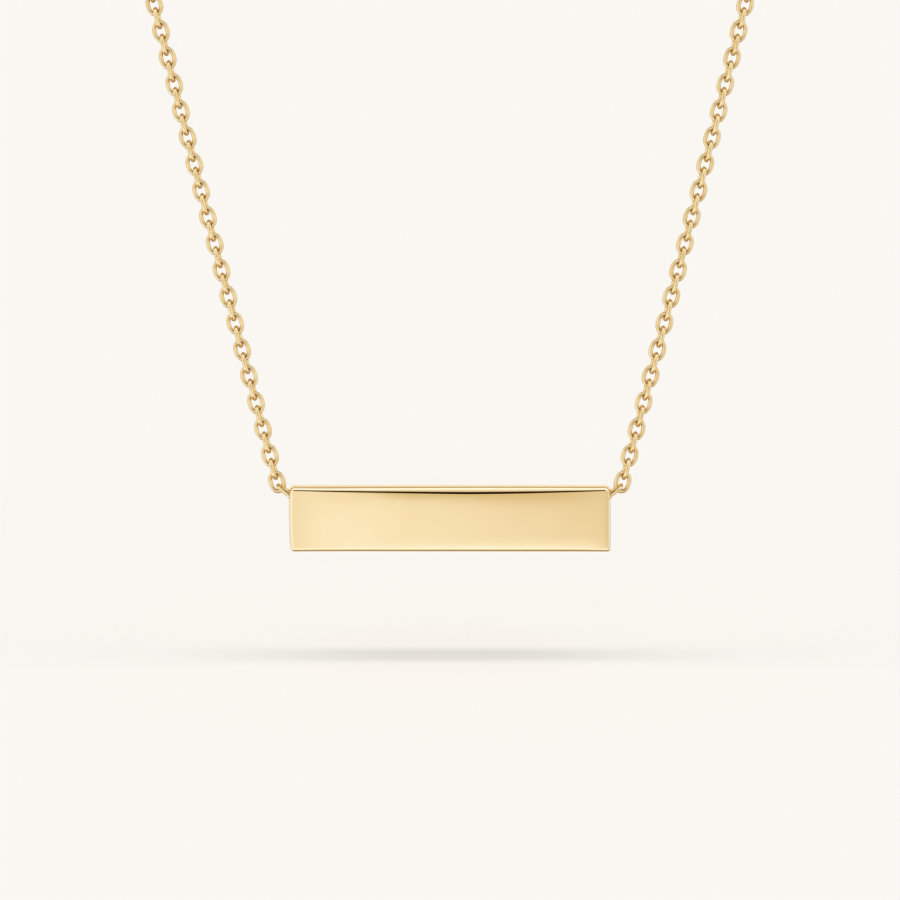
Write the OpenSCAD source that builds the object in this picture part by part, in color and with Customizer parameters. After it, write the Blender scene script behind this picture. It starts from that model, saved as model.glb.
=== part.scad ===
// Gold bar necklace: a flat bar with a loop soldered to each end, two cable chains and a barrel clasp.
// Millimetres. The nape is the origin, +Z is up, and the bar faces -Y as it is worn.

/* [Bar] */
// Length of the bar, across the chest
bar_l = 35; // [28:0.5:42]
// Height of its front face
bar_h = 7.1; // [5:0.1:9]
// Thickness, front to back
bar_t = 2; // [2:0.1:2.8]
// Radius worn and polished on to every edge
bar_edge = 0.42; // [0.2:0.02:0.45]

/* [End loops] */
// Thickness of the soldered loop's wire
loop_wire = 0.43; // [0.4:0.01:0.45]
// Width of the loop, centre to centre of its two strands
loop_w = 1.45; // [1.4:0.05:1.5]
// How far its bow stands off the bar's end, along the loop
loop_l = 1.53; // [1.45:0.01:1.8]
// How far below the top edge the loop is soldered
loop_down = 0.82; // [0.8:0.02:1.2]
// Rise of the loop from level
loop_rise = 38; // [30:1:45]
// Roll of the loop about its own length, so that its front strand sits lower
loop_roll = 12; // [8:1:14]
// Play between the loop and the link that hangs in it
loop_play = 0.2; // [0.16:0.01:0.22]

/* [Chain] */
// Thickness of the links' wire
wire = 0.46; // [0.4:0.01:0.47]
// Width of a link, centre to centre of its two strands
link_w = 1.47; // [1.45:0.01:1.6]
// Play between two links, and between the last link and the clasp
play = 0.105; // [0.105:0.005:0.14]
// Links on each side, an even number
links = 120; // [100:2:120]

/* [Worn shape] */
// Height of the nape over the middle of the bar
drop = 100.5; // [98:0.5:104]
// Depth from the nape to the bar
reach = 85; // [80:1:88]
// Length of the nearly straight run that rises from the bar
run_l = 60; // [50:1:62]
// How far the run leans out from upright, at the bar
run_spread = 14.9; // [12:0.1:16]
// How far it has turned back in at its upper end
run_curl = 1.2; // [0:0.1:4]
// How far it leans back with the chest
run_lean = 8; // [6:1:10]
// Turn of the flat links away from straight ahead, where they lie on the chest
link_turn = 8; // [4:1:12]
// How far past the run's end its direction pulls the bend
bend_pull = 50; // [46:1:54]
// How far to the side of the nape the bend is pulled
bend_side = 52.4; // [50:0.2:54]

/* [Clasp] */
// Length of the barrel
clasp_l = 7; // [6:0.1:8]
// Its diameter
clasp_d = 2.6; // [2.4:0.1:3.2]
// Chamfer on its ends
clasp_edge = 0.4; // [0.2:0.1:0.6]
// How far its loops stand off its ends
clasp_loop = 1.38; // [1.36:0.02:1.5]

/* [Hidden] */
$fn = 24;
gold = [0.90, 0.76, 0.50];
sunk = 0.5; // how far a loop's wire ends sit inside the metal that it is soldered to
hold = wire + play; // wire centre to wire centre where a link hangs in a loop or a link

// bar's place, and the end loop's bow in the same frame, on the right-hand side
bar_at = [0, -reach, -drop];
loop_dir = [cos(loop_rise), 0, sin(loop_rise)];
loop_foot = bar_at + [bar_l / 2, 0, bar_h / 2 - loop_down];
loop_bow = loop_foot + loop_l * loop_dir;

// right-hand route: a nearly straight run from the loop, then one curve round the neck to the clasp
run_dir = [sin(run_spread), cos(run_spread) * sin(run_lean), cos(run_spread) * cos(run_lean)];
run_in = tan(run_curl) * [-cos(run_spread), 0, sin(run_spread)];
run_start = loop_bow - ((wire + loop_wire) / 2 + loop_play - hold / 2) * run_dir;
run_end = run_start + run_l * (run_dir + run_in / 2);
clasp_y = clasp_d / 2; // the barrel's middle, so that its front touches the nape
clasp_bow = clasp_l / 2 + clasp_loop; // middle of the barrel to the wire of its loop's bow
route_end = [clasp_bow - hold / 2, clasp_y, 0];
bend = [run_end, run_end + bend_pull * (run_dir + run_in), [bend_side, clasp_y, 0], route_end];
steps = 100;

function unit(v) = v / norm(v);
function ease(x) = x * x * (3 - 2 * x);
function on_bend(t) = pow(1 - t, 3) * bend[0] + 3 * pow(1 - t, 2) * t * bend[1]
  + 3 * (1 - t) * t * t * bend[2] + t * t * t * bend[3];

// distance along the bend against its parameter, and the length of the whole route
bend_steps = [for (i = [1:steps]) norm(on_bend(i / steps) - on_bend((i - 1) / steps))];
bend_table = [for (i = 0, s = 0; i <= steps; s = s + (i < steps ? bend_steps[i] : 0), i = i + 1)
  [s, i / steps]];
bend_l = bend_table[steps][0];
route_l = run_l + bend_l;
pitch = route_l / links;

// point, direction and outward face of the chain at a distance s from the bar's loop
function spot(s) = s < run_l ? run_start + s * run_dir + s * s / run_l / 2 * run_in
  : on_bend(lookup(s - run_l, bend_table));
function heading(s) = unit(spot(s + 0.1) - spot(s - 0.1));
function turn(s) = link_turn + (180 - link_turn) * ease(max(0, s - run_l) / bend_l);
function outward(s) = let (t = heading(s), n = [sin(turn(s)), -cos(turn(s)), 0])
  unit(n - (n * t) * t);

// wire bent half round, from +X over +Y to -X, with straight legs that run down -Y
module bow(w, d, leg) {
  rotate_extrude(angle = 180) translate([w / 2, 0]) circle(d = d);
  for (side = [-1, 1]) translate([side * w / 2, -leg, 0]) rotate([-90, 0, 0]) cylinder(d = d, h = leg);
}

// one oval link in the XY plane, long way along Y
module link() {
  // from the middle of the link to the middle of its bow, in whole thousandths so that the ends meet
  half = round(500 * (pitch + hold - link_w)) / 1000;
  for (end = [0, 180]) rotate([0, 0, end])
    translate([0, half, 0]) {
      rotate_extrude(angle = 180) translate([link_w / 2, 0]) circle(d = wire);
      translate([link_w / 2, -2 * half, 0]) rotate([-90, 0, 0]) cylinder(d = wire, h = 2 * half);
    }
}

// puts children's X, Y and Z along the three directions given, at a point
module frame(x, y, z, at) {
  multmatrix([[x.x, y.x, z.x, at.x], [x.y, y.y, z.y, at.y], [x.z, y.z, z.z, at.z]]) children();
}

// right-hand chain: links stand flat and on edge by turns, from the bar's loop to the clasp's
module chain() {
  for (i = [0:links - 1]) {
    s = (i + 0.5) * pitch;
    t = heading(s);
    n = outward(s);
    face = i % 2 == 0 ? n : cross(t, n);
    frame(cross(t, face), t, face, spot(s)) link();
  }
}

// rectangle with round corners, round the origin
module soft_rect(x, y, r) {
  square([x - 2 * r, y], center = true);
  square([x, y - 2 * r], center = true);
  for (sx = [-1, 1], sy = [-1, 1]) translate([sx * (x / 2 - r), sy * (y / 2 - r)]) circle(r = r);
}

// bar's block: its outlines from the front, above and the end, cut to what they share
module block() {
  intersection() {
    rotate([90, 0, 0]) linear_extrude(height = bar_t, center = true) soft_rect(bar_l, bar_h, bar_edge);
    linear_extrude(height = bar_h, center = true) soft_rect(bar_l, bar_t, bar_edge);
    rotate([90, 0, 90]) linear_extrude(height = bar_l, center = true) soft_rect(bar_t, bar_h, bar_edge);
  }
}

// loop on the bar's right-hand end, with its wire ends inside the bar
module end_loop() {
  low = [sin(loop_rise), 0, -cos(loop_rise)];
  across = cos(loop_roll) * [0, -1, 0] + sin(loop_roll) * low;
  frame(across, loop_dir, cross(across, loop_dir), loop_bow - loop_w / 2 * loop_dir)
    bow(loop_w, loop_wire, loop_l - loop_w / 2 + sunk);
}

module bar() {
  color(gold) {
    translate(bar_at) block();
    end_loop();
    mirror([1, 0, 0]) end_loop();
  }
}

module chain_right() {
  color(gold) chain();
}

module chain_left() {
  color(gold) mirror([1, 0, 0]) chain();
}

// barrel with chamfered ends and a wire loop in each of them, lying flat against the nape
module clasp() {
  r = clasp_d / 2;
  color(gold) translate([0, clasp_y, 0]) {
    rotate([0, 90, 0]) rotate_extrude() polygon([
      [0, -clasp_l / 2], [r - clasp_edge, -clasp_l / 2], [r, -clasp_l / 2 + clasp_edge],
      [r, clasp_l / 2 - clasp_edge], [r - clasp_edge, clasp_l / 2], [0, clasp_l / 2]]);
    for (side = [-1, 1]) frame([0, 0, -side], [side, 0, 0], [0, -1, 0], [side * (clasp_bow - loop_w / 2), 0, 0])
      bow(loop_w, wire, clasp_bow - loop_w / 2 - clasp_l / 2 + sunk);
  }
}

bar();
chain_left();
chain_right();
clasp();
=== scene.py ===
import math
import bpy
import numpy as np
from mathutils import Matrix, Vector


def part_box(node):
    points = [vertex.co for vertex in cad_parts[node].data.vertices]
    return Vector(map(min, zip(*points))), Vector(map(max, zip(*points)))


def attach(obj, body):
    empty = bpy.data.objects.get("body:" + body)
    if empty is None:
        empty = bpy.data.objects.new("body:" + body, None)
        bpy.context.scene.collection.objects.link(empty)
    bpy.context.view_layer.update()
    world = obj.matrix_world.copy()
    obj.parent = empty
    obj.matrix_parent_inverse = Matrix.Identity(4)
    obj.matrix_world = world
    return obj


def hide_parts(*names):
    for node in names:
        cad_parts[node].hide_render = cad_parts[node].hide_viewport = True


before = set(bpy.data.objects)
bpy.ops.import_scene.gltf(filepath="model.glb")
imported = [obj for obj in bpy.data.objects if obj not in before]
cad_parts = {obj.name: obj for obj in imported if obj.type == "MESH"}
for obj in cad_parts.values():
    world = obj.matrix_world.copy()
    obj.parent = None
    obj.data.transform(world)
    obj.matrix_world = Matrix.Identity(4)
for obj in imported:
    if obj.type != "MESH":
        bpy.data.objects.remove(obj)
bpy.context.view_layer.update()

# Camera
# A long lens a metre off, a little above the bar, with the bar low in the frame as in the photograph.
MM = 0.001
PHOTO_PX = 900
PX_PER_MM = 9.157
CAMERA_RISE = math.radians(10.6)
CAMERA_AWAY = 1.0
SENSOR_W = 36
BAR_H = 7.1 * MM
BAR_MID_PX = (449.8, 518.4)

bar_low, bar_high = (np.array(corner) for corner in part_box("bar"))
bar_mid = np.array([0.0, (bar_low[1] + bar_high[1]) / 2, bar_low[2] + BAR_H / 2])
view_up = np.array([0.0, math.sin(CAMERA_RISE), math.cos(CAMERA_RISE)])
view_in = np.array([0.0, math.cos(CAMERA_RISE), -math.sin(CAMERA_RISE)])
frame_w = PHOTO_PX / PX_PER_MM * MM
aim = bar_mid + view_up * (BAR_MID_PX[1] - PHOTO_PX / 2) / PX_PER_MM * MM
aim[0] = (PHOTO_PX / 2 - BAR_MID_PX[0]) / PX_PER_MM * MM

camera_data = bpy.data.cameras.new("camera")
camera_data.sensor_width = SENSOR_W
camera_data.lens = SENSOR_W * CAMERA_AWAY / frame_w
camera_data.clip_start = 0.05
camera_data.clip_end = 50
camera = bpy.data.objects.new("camera", camera_data)
camera.location = aim - view_in * CAMERA_AWAY
camera.rotation_euler = (math.pi / 2 - CAMERA_RISE, 0, 0)
bpy.context.collection.objects.link(camera)
bpy.context.scene.camera = camera

# Floor and light
# A pale sheet just under the bar, one soft light overhead for the shadow, and a room that only the metal
# mirrors: bright floor in front, a dark gap above the horizon, a white ceiling and a warm dim back.
FLOOR_DROP = 11.7 * MM
FLOOR_HALF = 6.0
PAPER = (0.947, 0.922, 0.880)
ROUND_SHARE = 0.53  # of the floor's light, what comes evenly from all round instead of from the lamp
LAMP_RISE = 10.0
LAMP_L, LAMP_W = 20.0, 4.25
LAMP_SEEN = 0.52  # the lamp's projected solid angle over the floor under its middle, steradians
ROOM = (  # straight ahead: degrees from the front horizon over the top to the back, and the light there
    (-180, 0.95, 0.88, 0.76), (-171, 0.90, 0.82, 0.68), (-160, 0.50, 0.40, 0.26), (-120, 0.45, 0.35, 0.20),
    (-80, 0.42, 0.33, 0.19), (-62, 0.60, 0.50, 0.34), (-50, 1.10, 1.08, 1.05), (-28, 1.22, 1.26, 1.50),
    (-18, 1.02, 1.03, 1.12), (-13, 0.98, 0.95, 0.94), (-10.6, 0.945, 0.925, 0.90), (-9, 0.93, 0.87, 0.82),
    (-7.6, 0.84, 0.775, 0.665), (-6, 0.71, 0.59, 0.41), (-3, 0.75, 0.63, 0.43), (2, 0.98, 0.84, 0.60),
    (7, 1.00, 0.86, 0.60), (11, 0.04, 0.02, 0.012), (35, 0.02, 0.015, 0.01), (38, 0.86, 0.76, 0.64),
    (64, 0.88, 0.85, 0.81), (72, 1.02, 1.12, 1.30), (100, 1.10, 1.25, 1.55), (104, 0.36, 0.26, 0.15),
    (164, 0.34, 0.24, 0.14), (168, 0.98, 0.97, 0.95), (180, 1.00, 0.97, 0.92))
SIDES = (  # low and to the left or right: sideways share of the direction, and the light there
    (-1.0, 0.88, 0.90, 1.00), (-0.85, 0.98, 1.05, 1.25), (-0.65, 1.03, 1.13, 1.43), (-0.36, 1.02, 1.08, 1.25),
    (-0.20, 0.90, 0.80, 0.62), (0.12, 0.78, 0.64, 0.44), (0.38, 0.74, 0.60, 0.42), (0.60, 0.84, 0.79, 0.74),
    (0.90, 0.88, 0.98, 1.25), (1.0, 0.86, 0.95, 1.20))
BEHIND = (0.58, 0.50, 0.44)  # low behind
SIDES_UP = (0.97, 0.98, 1.02)  # to the sides above level
GAP_UP = (0.34, 0.22, 0.11)  # up behind the sides
# from where to where one light gives way to the next, in shares of a direction whose length is one
BEHIND_AT = (0.4, 0.9)
SIDES_UP_AT = (-0.12, 0.18)
GAP_UP_AT, GAP_BACK_AT = (0.44, 0.60), (0.1, 0.4)
STEEP_AT = (0.72, 0.84)
ASIDE_AT = (0.24, 0.42)
GAP_LEVEL_AT = (0.10, 0.17)
GAP_NARROWS = 1.2  # above level, the light straight ahead is narrower by one plus this


def add_mesh(name, points, faces, smooth=True):
    """A mesh object from an array of points (n, 3) and an array or list of faces."""
    mesh = bpy.data.meshes.new(name)
    mesh.from_pydata(np.asarray(points, float).tolist(), [], [list(map(int, face)) for face in faces])
    mesh.polygons.foreach_set("use_smooth", [smooth] * len(mesh.polygons))
    mesh.update()
    piece = bpy.data.objects.new(name, mesh)
    bpy.context.collection.objects.link(piece)
    return piece


def adder(tree):
    """A function that adds a node to the tree: its settings by name, its inputs by their sockets' names."""
    def add(kind, inputs=(), **settings):
        made = tree.nodes.new("ShaderNode" + kind)
        for key, value in settings.items():
            setattr(made, key, value)
        for key, value in dict(inputs).items():
            if isinstance(value, bpy.types.NodeSocket):
                tree.links.new(value, made.inputs[key])
            else:
                made.inputs[key].default_value = value
        return made
    return add


def mix(add, factor, first, second):
    """The colour between the first and second by the factor."""
    return add("Mix", {0: factor, 6: first, 7: second}, data_type="RGBA").outputs[2]


def calc(add, operation, *values):
    """What a Math node's operation gives for the values."""
    return add("Math", dict(enumerate(values)), operation=operation).outputs[0]


def ramp(add, value, low, high, table):
    """The colour that a table of places and colours gives a value, its places running from low to high."""
    share = add("MapRange", {"Value": value, "From Min": low, "From Max": high})
    made = add("ValToRGB", {0: share.outputs["Result"]})
    stops = made.color_ramp.elements
    while len(stops) < len(table):
        stops.new(0.5)
    for stop, (place, *light) in zip(stops, table):
        stop.position = (place - low) / (high - low)
        stop.color = (*light, 1)
    return made.outputs["Color"]


def rise(add, value, start, end):
    """Nought below the start and one past the end, with a soft S between."""
    return add("MapRange", {"Value": value, "From Min": start, "From Max": end},
               interpolation_type="SMOOTHSTEP").outputs[0]


def room_light(add):
    """What the metal mirrors in a direction. Straight ahead it is ROOM by the angle from the front horizon.
    Aside it is SIDES by the sideways share, with other light behind, above level and up behind, and
    steeply up or down it is ROOM again."""
    way = add("SeparateXYZ", {0: add("TexCoord").outputs["Generated"]}).outputs
    angle = calc(add, "ARCTAN2", way["Z"], calc(add, "MULTIPLY", way["Y"], -1.0))
    ahead = ramp(add, calc(add, "MULTIPLY", angle, 180 / math.pi), -180, 180, ROOM)
    side = mix(add, rise(add, way["Y"], *BEHIND_AT), ramp(add, way["X"], -1, 1, SIDES), (*BEHIND, 1))
    side = mix(add, rise(add, way["Z"], *SIDES_UP_AT), side, (*SIDES_UP, 1))
    up_behind = calc(add, "MULTIPLY", rise(add, way["Z"], *GAP_UP_AT), rise(add, way["Y"], *GAP_BACK_AT))
    side = mix(add, up_behind, side, (*GAP_UP, 1))
    side = mix(add, rise(add, calc(add, "ABSOLUTE", way["Z"]), *STEEP_AT), side, ahead)
    narrower = calc(add, "MULTIPLY_ADD", rise(add, way["Z"], *GAP_LEVEL_AT), GAP_NARROWS, 1.0)
    spread = calc(add, "MULTIPLY", calc(add, "ABSOLUTE", way["X"]), narrower)
    return mix(add, rise(add, spread, *ASIDE_AT), ahead, side)


floor_z = bar_low[2] - FLOOR_DROP
floor_corners = np.array([[-1, -1, 0], [1, -1, 0], [1, 1, 0], [-1, 1, 0]]) * FLOOR_HALF + [0, 0, floor_z]
floor = add_mesh("floor", floor_corners, [[0, 1, 2, 3]], smooth=False)
paper = bpy.data.materials.new("floor_paper")
paper.use_nodes = True
paper_shader = paper.node_tree.nodes["Principled BSDF"]
paper_shader.inputs["Base Color"].default_value = (*PAPER, 1)
paper_shader.inputs["Roughness"].default_value = 1.0
paper_shader.inputs["Specular IOR Level"].default_value = 0.0
floor.data.materials.append(paper)
floor.visible_glossy = False

overhead = bpy.data.lights.new("overhead", "AREA")
overhead.shape = "RECTANGLE"
overhead.size, overhead.size_y = LAMP_L, LAMP_W
overhead.energy = math.pi * (1 - ROUND_SHARE) * math.pi * LAMP_L * LAMP_W / LAMP_SEEN
overhead_object = bpy.data.objects.new("overhead", overhead)
overhead_object.location = (0, bar_mid[1], floor_z + LAMP_RISE)
overhead_object.visible_glossy = False
bpy.context.collection.objects.link(overhead_object)

room = bpy.data.worlds.new("room")
bpy.context.scene.world = room
room.use_nodes = True
add_to_room = adder(room.node_tree)
rays = add_to_room("LightPath").outputs
unmirrored = mix(add_to_room, rays["Is Camera Ray"], (ROUND_SHARE,) * 3 + (1,), (*PAPER, 1))
lit = mix(add_to_room, rays["Is Glossy Ray"], unmirrored, room_light(add_to_room))
room.node_tree.links.new(lit, room.node_tree.nodes["Background"].inputs["Color"])
bpy.context.scene.view_settings.view_transform = "Standard"

# Bar
# A solid gold bar, sawn from sheet, its edges stoned round and the whole polished on a wheel, which crowns
# the face a little, twists it by a hair and takes more off the long edges' middles than their ends.
BAR_L, BAR_T = 35.1 * MM, 2 * MM
TOP_TURN = 0.76 * MM  # radius of the face's turn into the top edge, where it is at its fullest
TOP_TURN_AT = 0.1  # a little right of the middle
TOP_TURN_LEAST = 0.02 * MM
LEFT_POWER, RIGHT_POWER = 1.2, 1.85
LOW_BEVEL, LOW_BEVEL_AT = 0.088 * MM, math.radians(18)
TOP_BEVEL = 0.226 * MM
TOP_BACK_TURN = 0.32 * MM
BEVEL_FROM, BEVEL_TO = math.radians(44), math.radians(56)
BACK_EDGE, BOTTOM_EDGE = 0.40 * MM, 0.40 * MM
LEFT_EDGE, RIGHT_EDGE = 0.42 * MM, 0.34 * MM
LEAST_EDGE = 0.03 * MM
TOP_CORNER = 0.60 * MM
LEFT_DRAW = 0.20 * MM  # how far the left end is drawn in at its foot
END_ZONE = 1.0 * MM  # the length at each end whose rings stand closer together
# lean of the face in degrees against the place along the bar, from -1 to 1: its twist over its whole height,
# and the further leans of its top and bottom
FACE_TWIST = ((-1, 0.5), (-0.95, 0.45), (-0.88, -1.0), (-0.8, -2.1), (-0.65, -2.5), (-0.5, -2.2),
              (-0.25, -1.0), (0, -0.3), (0.25, 0.5), (0.5, 0.95), (0.75, 1.25), (0.92, 1.45), (0.96, 1.6),
              (1, 2.4))
TOP_LEAN = ((-1, 0), (-0.93, 0), (-0.81, 2.0), (-0.6, 3.1), (-0.37, 3.3), (-0.12, 2.7), (0.13, 2.0),
            (0.38, 1.55), (0.63, 1.2), (0.84, 0.6), (0.94, 0.2), (1, 0))
BOTTOM_LEAN = ((-1, 0), (-0.93, 0.1), (-0.81, 0.5), (-0.6, 1.4), (-0.37, 2.3), (-0.12, 3.6), (0.13, 4.7),
               (0.38, 5.5), (0.63, 5.7), (0.84, 4.9), (0.94, 0.9), (1, 0))
# share of the top's and of the bottom's lean that is reached at a height over the middle, in millimetres
TOP_SHARE = ((-1.0, 0), (-0.2, 0.05), (0.7, 0.12), (1.15, 0.2), (1.6, 0.35), (2.05, 0.6), (2.4, 0.85),
             (2.6, 1))
BOTTOM_SHARE = ((-3.3, -1.35), (-3.05, -1), (-2.85, -0.7), (-2.6, -0.37), (-2.4, -0.15), (-1.7, 0))
BAR_LIGHT, BAR_DEEP, BAR_RIM = (0.975, 0.805, 0.480), (0.960, 0.785, 0.460), (0.95, 0.80, 0.60)
# painted shade: the dark brown that the creases between links and between the loops' legs are painted
# towards, standing in for the shade there
CREASE_SHADE_COLOUR = (0.34, 0.18, 0.05)
PIT_SCALE, PIT_HEIGHT = 9000.0, 0.15
MARK_ROUGHNESS = 0.10


def gold_polish():
    """Polished gold: its colour goes between two tones with a cloudy noise, its roughness with the wheel's
    marks, a stretched noise, and its height with the marks and fine pits."""
    group = bpy.data.node_groups.new("gold_polish", "ShaderNodeTree")
    for name, kind in (("Light", "Color"), ("Deep", "Color"), ("Gloss", "Float"), ("Marks", "Float"),
                       ("Cloud Scale", "Float"), ("Mark Scale", "Vector")):
        group.interface.new_socket(name, in_out="INPUT", socket_type="NodeSocket" + kind)
    for name, kind in (("Color", "Color"), ("Roughness", "Float"), ("Height", "Float")):
        group.interface.new_socket(name, in_out="OUTPUT", socket_type="NodeSocket" + kind)
    start, end = group.nodes.new("NodeGroupInput").outputs, group.nodes.new("NodeGroupOutput").inputs
    add = adder(group)
    place = add("TexCoord").outputs["Object"]
    cloud = add("TexNoise", {"Vector": place, "Scale": start["Cloud Scale"], "Detail": 3.0})
    stretched = add("Mapping", {"Vector": place, "Scale": start["Mark Scale"]})
    marks = add("TexNoise", {"Vector": stretched.outputs[0], "Scale": 1.0, "Detail": 4.0})
    pits = add("TexNoise", {"Vector": place, "Scale": PIT_SCALE, "Detail": 2.0})
    tone = add("MapRange", {"Value": cloud.outputs[0], "From Min": 0.35, "From Max": 0.65})
    streak = calc(add, "MULTIPLY", marks.outputs[0], start["Marks"])
    rough = calc(add, "MULTIPLY_ADD", streak, MARK_ROUGHNESS, start["Gloss"])
    height = calc(add, "MULTIPLY_ADD", pits.outputs[0], PIT_HEIGHT, streak)
    group.links.new(mix(add, tone.outputs[0], start["Light"], start["Deep"]), end["Color"])
    group.links.new(rough, end["Roughness"])
    group.links.new(height, end["Height"])
    return group


POLISH = gold_polish()


def gold(name, light, deep, rim, gloss, marks, cloud_scale, mark_scale, relief):
    """Gold with the shared polish driving colour, roughness and a slight relief, its tint at the rims, and
    painted shade, a dark brown, where the mesh's own crease shade value is high."""
    material = bpy.data.materials.new(name)
    material.use_nodes = True
    tree = material.node_tree
    add = adder(tree)
    polish = add("Group", {}, node_tree=POLISH)
    for key, value in (("Light", (*light, 1)), ("Deep", (*deep, 1)), ("Gloss", gloss), ("Marks", marks),
                       ("Cloud Scale", cloud_scale), ("Mark Scale", mark_scale)):
        polish.inputs[key].default_value = value
    bump = add("Bump", {"Strength": 1.0, "Distance": relief, "Height": polish.outputs["Height"]})
    shader = tree.nodes["Principled BSDF"]
    shader.inputs["Metallic"].default_value = 1.0
    shader.inputs["Specular Tint"].default_value = (*rim, 1)
    # painted shade: the colour goes towards dark brown by the mesh's crease shade value
    crease_shade = add("Attribute", attribute_name="crease_shade").outputs["Fac"]
    tree.links.new(mix(add, crease_shade, polish.outputs["Color"], (*CREASE_SHADE_COLOUR, 1)), shader.inputs["Base Color"])
    tree.links.new(polish.outputs["Roughness"], shader.inputs["Roughness"])
    tree.links.new(bump.outputs["Normal"], shader.inputs["Normal"])
    return material


def grid_faces(rows, cols, close_rows=False):
    """Quads of a tube of rows rings with cols points each, its last ring joined to its first if asked."""
    r, c = np.arange(rows if close_rows else rows - 1), np.arange(cols)
    r, c = (a.ravel() for a in np.meshgrid(r, c, indexing="ij"))
    r1, c1 = (r + 1) % rows, (c + 1) % cols
    return np.stack([r * cols + c, r1 * cols + c, r1 * cols + c1, r * cols + c1], axis=1)


def capped_faces(rows, cols):
    """The quads of such a tube, and a cap on its first and its last ring."""
    first, last = list(range(cols)), list(range((rows - 1) * cols, rows * cols))
    return grid_faces(rows, cols).tolist() + [first, last[::-1]]


def top_turn(along, pull):
    """The face's turn into the top edge: depth behind the face and distance under the top, from the top down.
    It is a small back turn, a bevel, then an arc with a narrow bevel low in it. The arc's radius falls from
    its fullest with a power of the distance along the bar, less the draw-in at the ends."""
    left = along < TOP_TURN_AT
    side = np.where(left, 1 + TOP_TURN_AT, 1 - TOP_TURN_AT)
    fall = (np.abs(along - TOP_TURN_AT) / side) ** np.where(left, LEFT_POWER, RIGHT_POWER)
    radius = np.maximum(TOP_TURN - (TOP_TURN - TOP_TURN_LEAST) * fall - pull, TOP_TURN_LEAST)[:, None]
    low, front = np.linspace(0, LOW_BEVEL_AT, 9), np.linspace(LOW_BEVEL_AT, BEVEL_FROM, 9)
    back = np.linspace(BEVEL_TO, math.pi / 2, 7)
    slope = (BEVEL_FROM + BEVEL_TO) / 2
    low_in, low_up = LOW_BEVEL * math.sin(LOW_BEVEL_AT), LOW_BEVEL * math.cos(LOW_BEVEL_AT)
    deep = radius * (1 - math.cos(BEVEL_FROM)) + low_in + TOP_BEVEL * math.sin(slope)
    high = radius * math.sin(BEVEL_FROM) + low_up + TOP_BEVEL * math.cos(slope)
    depth = np.concatenate([radius * (1 - np.cos(low)), radius * (1 - np.cos(front)) + low_in,
                            deep + TOP_BACK_TURN * (math.cos(BEVEL_TO) - np.cos(back))], axis=1)
    up = np.concatenate([radius * np.sin(low), radius * np.sin(front) + low_up,
                         high + TOP_BACK_TURN * (np.sin(back) - math.sin(BEVEL_TO))], axis=1)
    return depth[:, ::-1], (up[:, -1:] - up)[:, ::-1]


def lean_sum(shares, heights):
    """The setback at each height that one degree of lean adds up to by its shares, from mid height."""
    leans = np.radians(np.interp(heights, *(np.array(shares).T * [[MM], [1]])))
    total = np.concatenate([[0], np.cumsum((leans[1:] + leans[:-1]) / 2 * np.diff(heights))])
    return total - np.interp(0, heights, total)


def bar_mesh(stations=140, arc=12):
    """Rings along X. Each ring is a rectangle in Y and Z with quarter-round corners, but for the top's turn
    in front. Towards the ends the ring draws in by quarter rounds. The front half then leans by the face's
    twist and by its top's and bottom's leans, added up over its height, and the left end is drawn in
    towards its foot by the fourth power of the distance under the top."""
    half = np.array([BAR_L, BAR_T, BAR_H]) / 2
    near = half[0] - END_ZONE
    ends = [np.concatenate([np.linspace(near, half[0] - edge, 8)[:-1],
                            half[0] - edge + edge * np.sin(np.linspace(0, math.pi / 2, arc + 1))])
            for edge in (LEFT_EDGE, RIGHT_EDGE)]
    x = np.concatenate([-ends[0][::-1], np.linspace(-near, near, stations)[1:-1], ends[1]])
    u = x / half[0]

    def draw(radius):
        """How far a quarter round of this radius draws each ring in."""
        return radius * (1 - np.sqrt(1 - np.clip((np.abs(x) - half[0]) / radius + 1, 0, 1) ** 2))

    pull, top_pull = draw(np.where(x < 0, LEFT_EDGE, RIGHT_EDGE)), draw(TOP_CORNER)
    depth, under = top_turn(u, pull)
    corners = []
    for corner, (side_y, side_z) in enumerate(((1, 1), (-1, 1), (-1, -1), (1, -1))):
        down = top_pull if side_z > 0 else pull
        radius = np.maximum((BACK_EDGE, 0, BOTTOM_EDGE, BOTTOM_EDGE)[corner] - pull, LEAST_EDGE)[:, None]
        angle = np.linspace(corner, corner + 1, arc + 1) * math.pi / 2
        corners.append(np.stack([side_y * (half[1] - pull[:, None] - radius) + radius * np.cos(angle),
                                 side_z * (half[2] - down[:, None] - radius) + radius * np.sin(angle)],
                                axis=2))
    corners[1] = np.stack([depth - half[1] + pull[:, None], half[2] - top_pull[:, None] - under], axis=2)
    sides = []
    for corner, count in enumerate((8, 44, 6, 16)):  # points across the top, face, bottom and back
        start, stop = corners[corner][:, -1:], corners[(corner + 1) % 4][:, :1]
        step = np.linspace(0, 1, count + 2)[None, 1:-1, None]
        sides += [corners[corner], start * (1 - step) + stop * step]
    ring = np.concatenate(sides, axis=1)
    depths, heights = ring[..., 0], ring[..., 1]
    fine = np.linspace(-half[2], half[2], 400)
    lean = heights * np.tan(np.radians(np.interp(u, *np.array(FACE_TWIST).T)))[:, None]
    for leans, shares in ((TOP_LEAN, TOP_SHARE), (BOTTOM_LEAN, BOTTOM_SHARE)):
        lean += np.interp(u, *np.array(leans).T)[:, None] * np.interp(heights, fine, lean_sum(shares, fine))
    in_front = np.clip(-depths / half[1], 0, 1)
    at_left = np.clip(-10 * u - 9, 0, 1)[:, None]
    drawn = LEFT_DRAW * ((half[2] - heights) / BAR_H) ** 4 * at_left
    grid = np.stack([x[:, None] + drawn, depths + in_front * lean, heights], axis=2)
    return grid.reshape(-1, 3) + bar_mid, capped_faces(*heights.shape)


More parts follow.
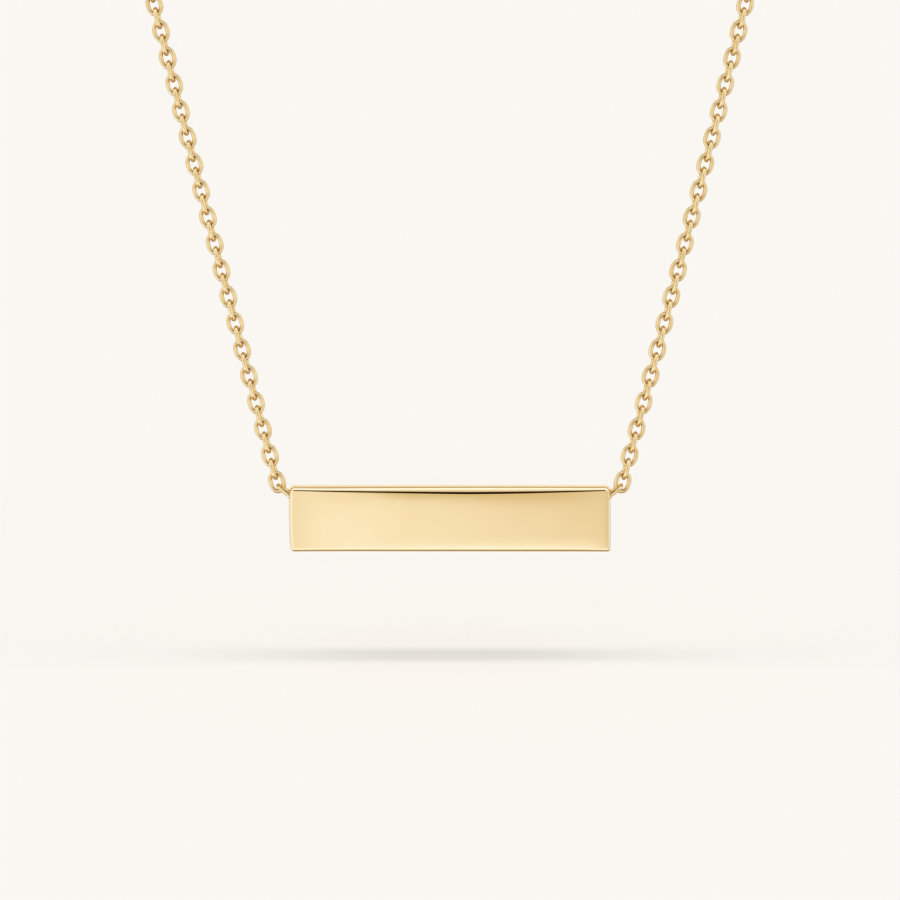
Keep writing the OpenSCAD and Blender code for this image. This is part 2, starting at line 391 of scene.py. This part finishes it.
bar_piece = add_mesh("bar_polished", *bar_mesh())
bar_piece.data.materials.append(gold("bar_gold", BAR_LIGHT, BAR_DEEP, BAR_RIM, gloss=0.02, marks=0.5,
                                     cloud_scale=160.0, mark_scale=(60, 900, 900), relief=0.0005 * MM))

# End loops
# A wire loop at each end of the bar, bent to a long U, its two ends soldered to the bar just under
# the top edge, and the first link of each chain hung in its bow.
LOOP_WIRE = 0.36 * MM
LOOP_W = 1.40 * MM
LOOP_L = 1.53 * MM
LOOP_DOWN = 0.82 * MM
LOOP_RISE = math.radians(38)
LOOP_ROLL = math.radians(5)
SUNK = 0.45 * MM  # how far the wire's ends sit inside the metal
FLARE, FLARE_FADE = 0.03 * MM, 0.10 * MM  # the solder's, over the wire and along it
SLIT_FROM, SLIT_FADE = 0.55, 0.35  # share of straight up where the front leg's painted shade starts, and its fade
SLIT_END, SLIT_END_FADE = 0.15 * MM, 0.4 * MM  # how far past the legs the painted shade goes, and its fade
LOOP_LIGHT, LOOP_DEEP, LOOP_RIM = (0.93, 0.75, 0.41), (0.88, 0.66, 0.32), (0.76, 0.54, 0.27)


def tube(path, way_a, way_b, radius, sides):
    """Rings of a round wire: the path's points plus radius times cosine and sine of the two ways."""
    turn = np.linspace(0, 2 * math.pi, sides, endpoint=False)
    radius = np.broadcast_to(radius, path.shape[:1])[:, None, None]
    return (path[:, None] + radius * (np.cos(turn)[None, :, None] * way_a[:, None]
                                      + np.sin(turn)[None, :, None] * way_b[:, None]))


def u_loop(bow, along, across, width, length, wire, flare=0.0, legs=25, sides=20):
    """A U of wire: a half circle round the bow and two straight legs, thicker at the foot by the solder's
    flare, which falls off exponentially. Its crease shade, painted shade for the dark slit, is where the
    legs face each other: the front leg's top and most of the back leg's underside."""
    normal = np.cross(across, along)
    leg = np.linspace(length - width / 2, 0, legs + 1)[:-1]
    bend = np.linspace(0, math.pi, 41)
    out_u = np.concatenate([np.ones(legs), np.cos(bend), -np.ones(legs)])
    out_v = np.concatenate([np.zeros(legs), np.sin(bend), np.zeros(legs)])
    u = width / 2 * out_u
    v = width / 2 * out_v - np.concatenate([leg, np.zeros(len(bend)), leg[::-1]])
    path = bow - along * width / 2 + u[:, None] * across + v[:, None] * along
    out = out_u[:, None] * across + out_v[:, None] * along
    past_foot = v + length - width / 2 - SUNK
    radius = wire / 2 + flare * np.exp(-np.maximum(past_foot, -FLARE_FADE / 2) / FLARE_FADE)
    rings = tube(path, out, np.broadcast_to(normal, path.shape), radius, sides)
    # painted shade: the legs' facing sides are darkened where the strands shade each other, which draws the
    # dark slit between them
    upward = np.sin(np.linspace(0, 2 * math.pi, sides, endpoint=False)) * np.sign(normal[2])
    front = (-np.sign(across[1]) * np.clip(out_u * 3, -1, 1))[:, None]
    crease_shade = np.clip((upward * front - np.where(front > 0, SLIT_FROM, 0.0)) / SLIT_FADE, 0, 1)
    crease_shade *= np.clip((SLIT_END - v) / SLIT_END_FADE, 0, 1)[:, None]
    return rings.reshape(-1, 3), capped_faces(len(path), sides), crease_shade.ravel()


def join(parts):
    """One array of points, one list of faces and one array of painted crease shade values from several."""
    points, faces, crease_shades, start = [], [], [], 0
    for some, more, crease_shade in parts:
        points.append(some)
        faces += [[start + index for index in face] for face in more]
        crease_shades.append(crease_shade)
        start += len(some)
    return np.concatenate(points), faces, np.concatenate(crease_shades)


def set_crease_shade(piece, crease_shade):
    """Store the painted crease shade value of each of the mesh's points for its gold to darken by."""
    piece.data.attributes.new("crease_shade", "FLOAT", "POINT").data.foreach_set("value", crease_shade.astype(np.float32))


def end_loop(side):
    """The loop on one end, and the middle of its bow: side is 1 on the right and -1 on the left."""
    along = np.array([side * math.cos(LOOP_RISE), 0, math.sin(LOOP_RISE)])
    low = np.array([side * math.sin(LOOP_RISE), 0, -math.cos(LOOP_RISE)])
    across = side * (math.cos(LOOP_ROLL) * np.array([0, -1, 0]) + math.sin(LOOP_ROLL) * low)
    foot = bar_mid + np.array([side * BAR_L / 2, 0, BAR_H / 2 - LOOP_DOWN])
    bow = foot + LOOP_L * along
    return u_loop(bow, along, across, LOOP_W, LOOP_L + SUNK, LOOP_WIRE, flare=FLARE), bow


(right_loop, right_bow), (left_loop, _) = end_loop(1), end_loop(-1)
*loops_shape, loops_crease_shade = join([right_loop, left_loop])
loops_piece = add_mesh("end_loops", *loops_shape)
set_crease_shade(loops_piece, loops_crease_shade)
loops_piece.data.materials.append(gold("loop_gold", LOOP_LIGHT, LOOP_DEEP, LOOP_RIM, gloss=0.05, marks=1.0,
                                       cloud_scale=900.0, mark_scale=(2500, 2500, 2500),
                                       relief=0.001 * MM))
for piece in (bar_piece, loops_piece):
    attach(piece, "pendant")
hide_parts("bar")
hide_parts("bar")

# Chains
# Two cable chains of oval links from drawn wire, each link closed with a speck of solder and turned
# a quarter against the next, then tumbled bright. The flat links lie on the chest.
WIRE, PLAY = 0.46 * MM, 0.105 * MM  # as in the solids, for the chain's route
LINK_WIRE = 0.50 * MM
LINK_W = 1.36 * MM
LINK_POWER = 2.9
# how dark the painted shade on the inside of the bows is
LINK_CREASE_SHADE = 0.9
BOW_TO_LINK = 0.645 * MM  # from the middle of the loop's wire to the middle of the link's
LINKS = 120
RUN_L = 60 * MM
RUN_SPREAD = math.radians(14.9)
RUN_CURL = math.radians(1.2)
RUN_LEAN = math.radians(8)
BEND_PULL, BEND_SIDE = 50 * MM, 52.4 * MM
LINK_TURN = 8
CLASP_L, CLASP_D = 7 * MM, 2.6 * MM
CLASP_BOW = CLASP_L / 2 + 1.38 * MM
CHAIN_LIGHT, CHAIN_DEEP, CHAIN_RIM = (0.93, 0.75, 0.41), (0.88, 0.66, 0.32), (0.82, 0.61, 0.33)
hold = WIRE + PLAY


def unit(vectors):
    """Vectors brought to length one."""
    return vectors / np.linalg.norm(vectors, axis=-1, keepdims=True)


def route():
    """Middle, direction and outward face of each link on the right-hand side, and the links' pitch: a run
    from the loop whose inward offset grows as the square of its length, then one cubic curve round the neck
    to the clasp, cut into equal steps along its length. The face turns from the front to the back with a
    soft S over the curve."""
    run = np.array([math.sin(RUN_SPREAD), math.cos(RUN_SPREAD) * math.sin(RUN_LEAN),
                    math.cos(RUN_SPREAD) * math.cos(RUN_LEAN)])
    inward = math.tan(RUN_CURL) * np.array([-math.cos(RUN_SPREAD), 0, math.sin(RUN_SPREAD)])
    start = right_bow - (BOW_TO_LINK - hold / 2) * run
    run_end = start + RUN_L * (run + inward / 2)
    bend = np.array([run_end, run_end + BEND_PULL * (run + inward),
                     [BEND_SIDE, CLASP_D / 2, 0], [CLASP_BOW - hold / 2, CLASP_D / 2, 0]])
    t = np.linspace(0, 1, 4001)[:, None]
    curve = ((1 - t) ** 3 * bend[0] + 3 * (1 - t) ** 2 * t * bend[1]
             + 3 * (1 - t) * t ** 2 * bend[2] + t ** 3 * bend[3])
    step = np.linspace(0, RUN_L, 400)[:-1, None]
    path = np.concatenate([start + step * run + step ** 2 / RUN_L / 2 * inward, curve])
    along = np.concatenate([[0], np.cumsum(np.linalg.norm(np.diff(path, axis=0), axis=1))])

    def at(where):
        """The path's points at these distances along it."""
        return np.stack([np.interp(where, along, path[:, k]) for k in range(3)], axis=1)

    pitch = along[-1] / LINKS
    s = (np.arange(LINKS) + 0.5) * pitch
    heading = unit(at(s + 0.1 * MM) - at(s - 0.1 * MM))
    past = np.clip((s - RUN_L) / (along[-1] - RUN_L), 0, 1)
    turn = np.radians(LINK_TURN + (180 - LINK_TURN) * past * past * (3 - 2 * past))
    face = np.stack([np.sin(turn), -np.cos(turn), np.zeros(LINKS)], axis=1)
    face = unit(face - (face * heading).sum(1, keepdims=True) * heading)
    return at(s), heading, face, pitch


def link_ring(pitch, steps=12, sides=6):
    """One link's rings: an oval path fuller than an ellipse, with a round wire. Smoothing draws a ring of
    n points in by two plus the cosine of its step over three, so the path and wire start that much out.
    The crease shade is painted shade on the inside of the bows, where the next links hang and shade them."""
    def before_smoothing(n):
        """How many times its size a ring of n points starts at."""
        return 3 / (2 + math.cos(2 * math.pi / n))

    half_l, half_w = (pitch + hold) / 2 * before_smoothing(steps), LINK_W / 2 * before_smoothing(steps)
    turn = np.linspace(0, 2 * math.pi, steps, endpoint=False) + math.pi / steps
    reach = ((np.abs(np.cos(turn)) / half_w) ** LINK_POWER
             + (np.abs(np.sin(turn)) / half_l) ** LINK_POWER) ** (-1 / LINK_POWER)
    path = np.stack([reach * np.cos(turn), reach * np.sin(turn), np.zeros(steps)], axis=1)
    heading = unit(np.roll(path, -1, axis=0) - np.roll(path, 1, axis=0))
    out = np.cross(heading, [0, 0, 1])
    up = np.broadcast_to([0.0, 0.0, 1.0], path.shape)
    # painted shade: darkest on the inner side of the wire round the bows, where the next link sits
    inner = np.clip(-np.cos(np.linspace(0, 2 * math.pi, sides, endpoint=False)), 0, 1)
    crease_shade = LINK_CREASE_SHADE * np.abs(np.sin(turn))[:, None] ** 3 * inner
    return tube(path, out, up, LINK_WIRE / 2 * before_smoothing(sides), sides), crease_shade.ravel()


def chain_mesh(side):
    """All the links of one chain: the one ring turned to each link's frame and set at its place, flat and on
    edge by turns. The left-hand chain is the right-hand one mirrored, with its faces turned round."""
    middle, heading, face, pitch = route()
    ring, crease_shade = link_ring(pitch)
    steps, sides = ring.shape[:2]
    on_edge = np.arange(LINKS) % 2 == 1
    flat = np.where(on_edge[:, None], np.cross(heading, face), face)
    wide = np.cross(heading, flat)
    shape = ring.reshape(-1, 3)
    points = (middle[:, None] + shape[None, :, 0:1] * wide[:, None] + shape[None, :, 1:2] * heading[:, None]
              + shape[None, :, 2:3] * flat[:, None]).reshape(-1, 3)
    faces = grid_faces(steps, sides, close_rows=True)
    faces = (faces[None] + (np.arange(LINKS) * steps * sides)[:, None, None]).reshape(-1, 4)
    if side < 0:
        points, faces = points * [-1, 1, 1], faces[:, ::-1]
    return points, faces, np.tile(crease_shade, LINKS)


CHAIN_GOLD = gold("chain_gold", CHAIN_LIGHT, CHAIN_DEEP, CHAIN_RIM, gloss=0.05, marks=1.0,
                  cloud_scale=700.0, mark_scale=(2500, 2500, 2500), relief=0.001 * MM)
for name, side in (("chain_right", 1), ("chain_left", -1)):
    *links_shape, links_crease_shade = chain_mesh(side)
    chain_piece = add_mesh(name + "_links", *links_shape)
    set_crease_shade(chain_piece, links_crease_shade)
    smooth = chain_piece.modifiers.new("round", "SUBSURF")
    smooth.levels = smooth.render_levels = 1
    chain_piece.data.materials.append(CHAIN_GOLD)
    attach(chain_piece, "necklace")
    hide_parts(name)

# Clasp
# A plain barrel that closes the necklace at the nape, turned from rod in two halves that meet in a fine
# seam, with a wire loop in each end.
CLASP_PROFILE = (  # distance from the seam and radius, in millimetres, from the end's middle to the seam
    (3.5, 0.0), (3.5, 0.85), (3.46, 0.92), (3.14, 1.25), (3.05, 1.29), (2.95, 1.30), (0.10, 1.30),
    (0.06, 1.28), (0.04, 1.22))
CLASP_TIP = 0.01 * MM  # least radius, at the middle of each end
CLASP_LIGHT, CLASP_DEEP, CLASP_RIM = (0.96, 0.79, 0.47), (0.93, 0.73, 0.40), (0.86, 0.62, 0.34)


def barrel(sides=48):
    """The barrel: a profile of X and radius turned round the X axis, mirrored about the seam."""
    half = np.array(CLASP_PROFILE) * MM
    profile = np.concatenate([half, half[::-1] * [-1, 1]])
    turn = np.linspace(0, 2 * math.pi, sides, endpoint=False)
    x = np.broadcast_to(profile[:, :1], (len(profile), sides))
    radius = np.maximum(profile[:, 1:], CLASP_TIP)
    rings = np.stack([x, radius * np.cos(turn), radius * np.sin(turn)], axis=2)
    faces = [face[::-1] for face in capped_faces(len(profile), sides)]
    return rings.reshape(-1, 3) + [0, CLASP_D / 2, 0], faces, np.zeros(rings.size // 3)


def clasp_loop(side):
    """The wire loop in one end of the barrel, flat against the nape."""
    along, up = np.array([side, 0, 0.0]), np.array([0, 0, 1.0])
    bow = np.array([side * CLASP_BOW, CLASP_D / 2, 0])
    return u_loop(bow, along, up, LOOP_W, CLASP_BOW - CLASP_L / 2 + SUNK, WIRE)


clasp_piece = add_mesh("clasp_barrel", *join([barrel(), clasp_loop(1), clasp_loop(-1)])[:2])
clasp_piece.data.materials.append(gold("clasp_gold", CLASP_LIGHT, CLASP_DEEP, CLASP_RIM, gloss=0.12,
                                       marks=1.0, cloud_scale=500.0, mark_scale=(300, 2500, 2500),
                                       relief=0.001 * MM))
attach(clasp_piece, "necklace")
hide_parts("clasp")
